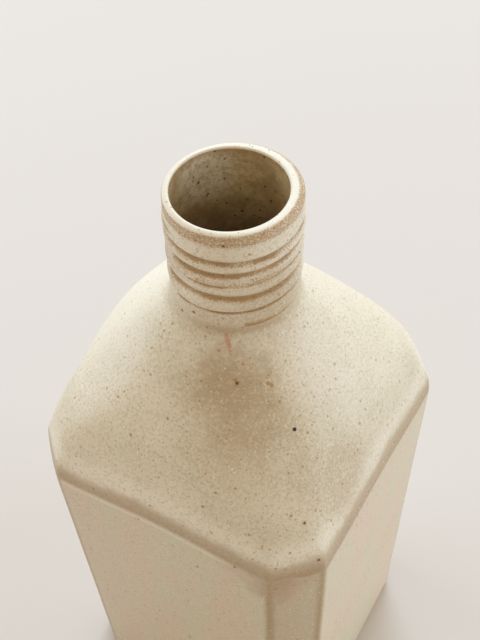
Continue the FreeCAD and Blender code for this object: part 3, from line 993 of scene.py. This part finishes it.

# Patches of brown haze, each as its point, reach and core (mm) and its strength: those that fade
# out up the neck, those that don't, and those with torn edges. Below the neck the haze is partly
# thin glaze and partly painted shade of the neck on the front shoulder.
HAZE_AND_SHADE_BELOW_NECK = [
    ((17.0, -30.0, 186.0), 25.0, 5.0, 1.0),
    ((21.0, -33.0, 178.0), 27.0, 3.0, 0.6),
    ((2.0, -31.0, 185.0), 15.0, 2.0, 0.5),
]
HAZE_AROUND = [
    ((-16.0, -12.0, 220.0), 20.0, 6.0, 0.75),
    ((44.0, -25.0, 166.0), 20.0, 4.0, 0.35),
]
HAZE_TORN = [
    ((18.0, -6.0, 211.0), 22.0, 4.0, 0.85),
    ((45.0, -20.0, 158.0), 19.0, 7.0, 0.62),
]

# Specks at random in the outside glaze, in the bore and in the bare clay: colour, cell (mm),
# share of the cells that hold one, largest radius (mm) and strength.
OUTSIDE_SPECKS = [
    ("break_brown", 1.2, 0.55, 0.42, 0.55),
    ("amber", 2.4, 0.42, 0.62, 0.7),
    ("iron", 4.0, 0.30, 0.40, 0.8),
]
BORE_SPECKS = [
    ("amber", 1.6, 0.6, 0.55, 0.5),
    ("iron", 1.9, 0.6, 0.62, 0.85),
]
CLAY_SPECKS = [("iron", 3.0, 0.35, 0.15, 0.7)]


class Field:
    """What the outside glaze is drawn from: places, the mesh's measures and shared noises."""

    def __init__(self, graph):
        place = graph.place_mm()
        self.place = place
        self.from_shoulder = graph.measure("from_shoulder")
        self.from_corner = graph.measure("from_corner")
        self.from_mouth = graph.measure("from_mouth")
        self.stain = graph.measure("ring_stain")
        parts = graph.node("ShaderNodeSeparateXYZ")
        graph.feed(parts.inputs[0], place)
        self.across, self.level = parts.outputs[0], parts.outputs[2]
        self.cloud = graph.noise(place, *CLOUD)
        self.ragged = graph.noise(place, *RAGGED)
        self.fine = graph.noise(place, *FINE)
        self.grit = graph.noise(place, *GRIT)
        self.stray = graph.swing(self.ragged, 6.0)
        self.small_stray = graph.times(self.stray, 0.35)
        self.hazy_place = graph.shifted(graph.shifted(place, 0.06, 26.0), 0.6, 5.0)
        self.torn_place = graph.shifted(place, 0.25, 8.0)
        self.front_corner = graph.near(self.hazy_place, FRONT_CORNER, 18.0, 7.0)


def broad_tones(graph, field, glaze):
    """Pinkish and greenish runs on the walls, cream on the shoulder, white along its edge, and a
    painted highlight along the top of the walls just below the edge.
    """
    stretched = graph.node("ShaderNodeVectorMath", operation="MULTIPLY")
    graph.feed(stretched.inputs[0], field.place)
    stretched.inputs[1].default_value = (1.0, 1.0, 0.35)
    runs = graph.noise(stretched.outputs[0], 0.06, detail=3.0)
    wall = graph.mix(graph.band(runs, 0.40, 0.62), glaze.blush, glaze.green)
    wall = graph.mix(0.40, wall, glaze.cream)
    mottle = graph.noise(field.place, 0.035, detail=4.0)
    shoulder = graph.mix(graph.band(mottle, 0.42, 0.66, 0.0, 0.45), glaze.cream, glaze.green)
    tone = graph.mix(graph.band(field.from_shoulder, 0.0, -3.0), shoulder, wall)

    above_edge = graph.ridge(graph.plus(field.from_shoulder, field.stray), 9.5, 7.0)
    tone = graph.coat(tone, glaze.pale, above_edge, 0.7)
    # Painted highlight: a thin pale line along the top of the walls just below the shoulder edge,
    # left off the front corner.
    below_edge = graph.times(graph.ridge(field.from_shoulder, -3.2, 1.0),
                             graph.minus(1.0, field.front_corner))
    tone = graph.coat(tone, glaze.pale, below_edge, 0.6)
    on_corner = graph.times(graph.band(field.from_corner, 0.5, -1.5),
                            graph.band(field.from_shoulder, 3.0, -1.0))
    tone = graph.coat(tone, glaze.break_brown, on_corner, 0.4)
    return graph.coat(tone, glaze.pale, graph.band(field.level, 203.0, 212.0, 0.0, 0.70))


def haze_and_shade_mask(graph, field):
    """Where the clay shows through as brown haze, which below the neck is partly painted shade of
    the neck.
    """
    neck_foot = graph.band(graph.plus(field.level, field.stray), 196.0, 203.0, 0.0, 0.55)
    haze = graph.most(graph.patches(field.hazy_place, HAZE_AND_SHADE_BELOW_NECK), neck_foot)
    haze = graph.times(haze, graph.band(field.level, 206.0, 214.0, 0.85, 0.30))
    haze = graph.most(haze, graph.patches(field.hazy_place, HAZE_AROUND),
                      graph.patches(field.torn_place, HAZE_TORN))
    return graph.times(haze, graph.band(field.cloud, 0.34, 0.52, 0.78, 1.0))


def root_mask(graph, field):
    """The brown run below the neck and the broken brown line round the neck's foot."""
    def grainy(low, high):
        return graph.band(field.fine, 0.42, 0.58, low, high)

    run_place = graph.shifted(field.torn_place, 0.09, 15.0)
    top = graph.near(run_place, RUN_TOP, 14.0, 10.0)
    low = graph.near(run_place, RUN_LOW, 11.0, 9.0)
    run = graph.most(graph.times(top, grainy(0.05, 0.62)), graph.times(low, grainy(0.02, 0.18)))
    run = graph.times(run, graph.band(field.ragged, 0.40, 0.60, 0.15, 1.0))
    line = graph.ridge(graph.plus(field.level, field.small_stray), NECK_LINE, 2.6)
    in_front = graph.near(field.torn_place, NECK_FRONT, 21.0, 7.0)
    return graph.most(run, graph.times(line, in_front, grainy(0.25, 0.85)))


def thick_and_lit_glaze(graph, field, glaze, tone):
    """White on the rear-left shoulder, partly thick glaze and partly a painted highlight of the
    light from behind, and a fine light and dark grain where that white isn't.
    """
    # Whiter patch on the rear-left shoulder: partly thick glaze, partly a painted highlight of the
    # light from behind.
    thick = graph.times(graph.near(field.torn_place, THICK_AND_LIT_PLACE, 36.0, 9.0),
                        graph.band(field.level, 206.0, 198.0))
    tone = graph.coat(tone, glaze.pale, thick, 0.65)
    grainy = graph.minus(graph.band(field.from_shoulder, -4.0, 0.0, 0.6, 1.0),
                         graph.times(thick, 0.45))
    lighter = graph.times(graph.band(field.fine, 0.50, 0.64, 0.0, 0.50), grainy)
    darker = graph.times(graph.band(field.fine, 0.50, 0.36, 0.0, 0.46), grainy)
    return graph.coat(graph.coat(tone, glaze.pale, lighter), glaze.haze, darker)


def worn_mask(graph, field):
    """Where the glaze runs thin over the shoulder edge and the upright edges."""
    uneven = graph.swing(field.cloud, 6.0)
    above_edge = graph.plus(field.from_shoulder, field.small_stray, uneven)
    below_edge = graph.plus(field.from_shoulder, graph.band(field.across, 44.0, 49.0, 0.0, 2.2))
    edge = graph.times(graph.band(above_edge, 7.0, 2.6), graph.band(below_edge, -2.4, -0.4))
    upright = graph.times(graph.ridge(graph.plus(field.from_corner, field.small_stray), -0.6, 2.8),
                          graph.band(field.from_shoulder, 3.0, 0.0))
    front = graph.times(field.front_corner, graph.band(field.from_shoulder, 4.0, -1.0, 0.0, 0.75))
    return graph.times(graph.most(edge, upright, front),
                       graph.band(field.fine, 0.38, 0.56, 0.55, 1.0),
                       graph.band(field.from_shoulder, 4.0, -1.0, 0.60, 0.78))


def stained_neck(graph, field, glaze, tone):
    """Rust and iron in the throwing rings, round the mouth and under the lip."""
    flecks = graph.plus(graph.swing(field.fine, 1.4), graph.swing(field.grit, 2.2))
    broken = graph.plus(field.stain, graph.times(field.small_stray, 0.2), flecks)
    tone = graph.coat(tone, glaze.rust, graph.band(broken, 0.28, 0.80), 0.9)
    burnt = graph.times(graph.band(field.stain, 0.45, 0.90),
                        graph.band(field.grit, 0.50, 0.40, 0.0, 0.65))
    tone = graph.coat(tone, glaze.iron, burnt)
    mouth = graph.ridge(
        graph.plus(field.from_mouth, graph.times(field.small_stray, 0.5)), 0.3, 0.6)
    tone = graph.coat(tone, glaze.rust, mouth, 0.65)
    lip_place = graph.plus(field.from_mouth, graph.times(field.small_stray, 0.6))
    under_lip = graph.times(graph.band(lip_place, -7.0, -5.6), graph.band(lip_place, -2.4, -3.0),
                            graph.band(field.grit, 0.40, 0.54, 0.2, 0.8))
    tone = graph.coat(tone, glaze.rust, under_lip)
    lip = graph.band(field.from_mouth, -3.2, -2.4)
    return graph.coat(tone, glaze.pale, graph.minus(lip, mouth), 0.8)


def random_specks(graph, specks, place, glaze, tone, table):
    """tone with every row of a table of specks laid over it."""
    for colour_name, cell, chance, largest, strength in table:
        mask = graph.group(specks, place=place, cell=cell, share=chance, largest=largest)
        tone = graph.coat(tone, getattr(glaze, colour_name), mask, strength)
    return tone


def outside_glaze(glaze, specks, grain, marks):
    """Cream glaze that is white where thick and breaks brown over edges, rings and specks, with
    painted highlights, glints and shade laid in as well.
    """
    material, graph, shader = new_material("cream_glaze")
    field = Field(graph)
    place = field.place
    tone = broad_tones(graph, field, glaze)
    # Brown haze, partly painted shade of the neck on the shoulder in front of it.
    tone = graph.coat(tone, glaze.haze, haze_and_shade_mask(graph, field), 0.85)
    tone = graph.coat(tone, glaze.break_brown, root_mask(graph, field))
    tone = thick_and_lit_glaze(graph, field, glaze, tone)
    tone = graph.coat(tone, glaze.break_brown, worn_mask(graph, field))
    tone = stained_neck(graph, field, glaze, tone)
    tone = random_specks(graph, specks, place, glaze, tone, OUTSIDE_SPECKS)

    # White grains of sand, partly painted glints, then the fire marks.
    sand_and_glints = graph.group(specks, place=place, cell=1.7, share=0.40, largest=0.38)
    grains_and_glints = graph.most(sand_and_glints, graph.marks(place, marks["sand_and_glints"]))
    tone = graph.coat(tone, SAND_AND_GLINT_WHITE, grains_and_glints, 0.7)
    shaken = graph.shifted(place, 1.2, 0.5)
    tone = graph.coat(tone, glaze.pink, graph.marks(shaken, marks["pink"]), 0.5)
    tone = graph.coat(tone, glaze.amber, graph.marks(shaken, marks["amber"]), 0.85)
    halos = graph.marks(shaken, [(point, radius * 2.0) for point, radius in marks["iron"]])
    tone = graph.coat(tone, glaze.amber, halos, 0.4)
    dots = graph.marks(place, marks["iron"])
    tone = graph.coat(tone, glaze.iron, dots, 0.9)
    black = graph.marks(place, marks["black"])
    tone = graph.coat(tone, glaze.black, black)

    roughness = graph.band(field.fine, 0.2, 0.8, glaze.gloss - 0.08, glaze.gloss + 0.10)
    relief = graph.plus(graph.group(grain, place=place, grit=1.0), graph.times(grains_and_glints, 0.5))
    relief = graph.minus(relief, graph.times(graph.most(dots, black), 0.5))
    finish(graph, shader, tone, roughness, relief, 0.18)
    return material


def inside_glaze(glaze, specks, grain):
    """Thinner, browner glaze in the bore, thick with specks, darker deeper down as painted shade,
    and paler on its back wall, partly as a painted highlight.
    """
    material, graph, shader = new_material("bore_glaze")
    place = graph.place_mm()
    from_mouth = graph.measure("from_mouth")
    cloud = graph.noise(place, 0.12, detail=4.0)
    fine = graph.noise(place, *FINE)
    ragged = graph.noise(place, *RAGGED)
    tone = graph.mix(graph.band(cloud, 0.40, 0.60), glaze.inside, glaze.haze)
    # Pale patch on the back-left of the bore, partly pooled glaze and partly a painted highlight.
    pooled = graph.near(graph.shifted(place, 0.25, 8.0), BORE_POOL_AND_HIGHLIGHT, 14.0, 5.0)
    tone = graph.coat(tone, glaze.pale, pooled, 0.8)
    tone = graph.coat(tone, glaze.break_brown, graph.band(fine, 0.50, 0.30, 0.0, 0.55))
    tone = graph.coat(tone, glaze.break_brown, graph.band(ragged, 0.46, 0.60, 0.0, 0.40))
    mouth = graph.band(graph.plus(from_mouth, graph.times(fine, 3.0)), 4.4, 1.6)
    tone = graph.coat(tone, glaze.rust, mouth, 0.52)
    # Painted shade: darker iron brown deeper down the bore.
    tone = graph.coat(tone, glaze.iron, graph.band(from_mouth, 12.0, 34.0, 0.0, 0.45))
    tone = random_specks(graph, specks, place, glaze, tone, BORE_SPECKS)
    roughness = graph.band(cloud, 0.2, 0.8, 0.35, 0.55)
    finish(graph, shader, tone, roughness, graph.group(grain, place=place, grit=1.6), 0.2)
    return material


def bare_clay(glaze, specks, grain):
    """Unglazed, wiped clay under the foot."""
    material, graph, shader = new_material("bare_clay")
    place = graph.place_mm()
    cloud = graph.noise(place, 0.3, detail=6.0, roughness=0.7)
    tone = graph.mix(graph.band(cloud, 0.3, 0.7), glaze.clay, glaze.break_brown)
    tone = random_specks(graph, specks, place, glaze, tone, CLAY_SPECKS)
    finish(graph, shader, tone, 0.85, graph.group(grain, place=place, grit=2.5), 0.25)
    return material


# ---------------------------------------------------------------- operators

class BOTTLE_OT_make_bottle(bpy.types.Operator):
    """Make the glazed bottle, in place of the plain solid"""

    bl_idname = "bottle.make_bottle"
    bl_label = "Make Bottle"

    def execute(self, context):
        form = context.scene.bottle_form
        glaze = context.scene.bottle_glaze
        mesh = make_clay(form)
        wobble(mesh, form)
        specks = specks_group()
        grain = grain_group()
        mesh.materials.append(outside_glaze(glaze, specks, grain, marked_places(mesh)))
        mesh.materials.append(inside_glaze(glaze, specks, grain))
        mesh.materials.append(bare_clay(glaze, specks, grain))
        bottle = bpy.data.objects.new("glazed_bottle", mesh)
        context.scene.collection.objects.link(bottle)
        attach(bottle, "root")
        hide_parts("bottle")
        return {"FINISHED"}


class BOTTLE_OT_make_stage(bpy.types.Operator):
    """Make the pale table, the soft light and the camera"""

    bl_idname = "bottle.make_stage"
    bl_label = "Make Stage"

    def execute(self, context):
        studio = context.scene.bottle_studio
        make_table(context, studio)
        make_light(context, studio)
        make_camera(context, studio)
        context.scene.view_settings.view_transform = "Standard"
        return {"FINISHED"}


TABLE_HALF = 3.0


def make_table(context, studio):
    """A plain pale table top under the foot."""
    mesh = bpy.data.meshes.new("table_top")
    signs = ((-1, -1), (1, -1), (1, 1), (-1, 1))
    corners = [(x * TABLE_HALF, y * TABLE_HALF, 0) for x, y in signs]
    mesh.from_pydata(corners, [], [(0, 1, 2, 3)])
    table = bpy.data.objects.new("table_top", mesh)
    context.scene.collection.objects.link(table)
    material, _, shader = new_material("pale_table")
    shader.inputs["Base Color"].default_value = (*studio.floor, 1.0)
    shader.inputs["Roughness"].default_value = 0.9
    shader.inputs["Specular IOR Level"].default_value = 0.2
    mesh.materials.append(material)


# Square lamps that face the bottle: degrees to the right from straight behind it, degrees up,
# distance (m), and the settings that hold their size and power.
WINDOWS = {
    "window": (7.0, 36.0, 3.6, "window_size", "window_power"),
    "right_window": (95.0, 8.0, 1.5, "side_size", "right_power"),
    "left_window": (-64.0, 20.0, 1.5, "side_size", "left_power"),
}


def direction(turn, rise):
    """The way to look for this turn from +Y and this rise above level."""
    return Vector((-math.sin(turn) * math.cos(rise), math.cos(turn) * math.cos(rise),
                   math.sin(rise)))


def make_light(context, studio):
    """Light from all round, a large soft window behind the bottle and a smaller one each side."""
    world = bpy.data.worlds.new("soft_room")
    world.use_nodes = True
    background = world.node_tree.nodes["Background"]
    background.inputs["Color"].default_value = (*studio.sky, 1.0)
    background.inputs["Strength"].default_value = studio.sky_strength
    context.scene.world = world
    middle = Vector((0.0, 0.0, CAD_HIGH[2] / 2))
    for name, (degrees_right, degrees_up, distance, size, watts) in WINDOWS.items():
        way = direction(studio.camera_azimuth - math.radians(degrees_right),
                        math.radians(degrees_up))
        lamp = bpy.data.lights.new(name, "AREA")
        lamp.shape = "SQUARE"
        lamp.size = getattr(studio, size)
        lamp.energy = getattr(studio, watts)
        lamp.color = studio.window
        placed = bpy.data.objects.new(name, lamp)
        facing = way.to_track_quat("Z", "Y").to_matrix().to_4x4()
        placed.matrix_world = Matrix.Translation(middle + way * distance) @ facing
        context.scene.collection.objects.link(placed)


def make_camera(context, studio):
    """The camera looks down on the bottle, with the mouth high in the view."""
    data = bpy.data.cameras.new("camera")
    data.lens = studio.camera_lens
    data.sensor_fit = "AUTO"
    data.sensor_width = SENSOR_WIDTH
    data.clip_start = 0.01
    camera = bpy.data.objects.new("camera", data)
    turn = studio.camera_azimuth
    forward = direction(turn, -studio.camera_pitch)
    level_right = Vector((math.cos(turn), math.sin(turn), 0.0))
    level_up = level_right.cross(forward)
    roll = studio.camera_roll
    right = level_right * math.cos(roll) + level_up * math.sin(roll)
    up = level_up * math.cos(roll) - level_right * math.sin(roll)
    focal = studio.camera_lens / SENSOR_WIDTH
    ray = (forward * focal + right * studio.mouth_right + up * studio.mouth_up).normalized()
    mouth = Vector((0.0, 0.0, CAD_HIGH[2]))
    rotation = Matrix((right, up, -forward)).transposed().to_4x4()
    camera.matrix_world = Matrix.Translation(mouth - ray * studio.camera_distance) @ rotation
    context.scene.collection.objects.link(camera)
    context.scene.camera = camera


class BOTTLE_PT_panel(bpy.types.Panel):
    """Sizes, glaze and stage of the bottle"""

    bl_label = "Ceramic Bottle"
    bl_idname = "BOTTLE_PT_panel"
    bl_space_type = "VIEW_3D"
    bl_region_type = "UI"
    bl_category = "Bottle"

    def draw(self, context):
        layout = self.layout
        layout.operator(BOTTLE_OT_make_bottle.bl_idname)
        layout.operator(BOTTLE_OT_make_stage.bl_idname)
        scene = context.scene
        for group in (scene.bottle_form, scene.bottle_glaze, scene.bottle_studio):
            box = layout.box()
            for name in group.bl_rna.properties.keys():
                if name not in ("rna_type", "name"):
                    box.prop(group, name)


CLASSES = (BottleForm, BottleGlaze, BottleStudio, BOTTLE_OT_make_bottle, BOTTLE_OT_make_stage,
           BOTTLE_PT_panel)


def register():
    """Add the settings, the operators and the panel."""
    for kind in CLASSES:
        bpy.utils.register_class(kind)
    bpy.types.Scene.bottle_form = PointerProperty(type=BottleForm)
    bpy.types.Scene.bottle_glaze = PointerProperty(type=BottleGlaze)
    bpy.types.Scene.bottle_studio = PointerProperty(type=BottleStudio)


def unregister():
    """Take them away again."""
    del bpy.types.Scene.bottle_studio
    del bpy.types.Scene.bottle_glaze
    del bpy.types.Scene.bottle_form
    for kind in reversed(CLASSES):
        bpy.utils.unregister_class(kind)


def main():
    """Make the stage and the bottle."""
    register()
    bpy.ops.bottle.make_stage()
    bpy.ops.bottle.make_bottle()


if __name__ == "__main__":
    main()
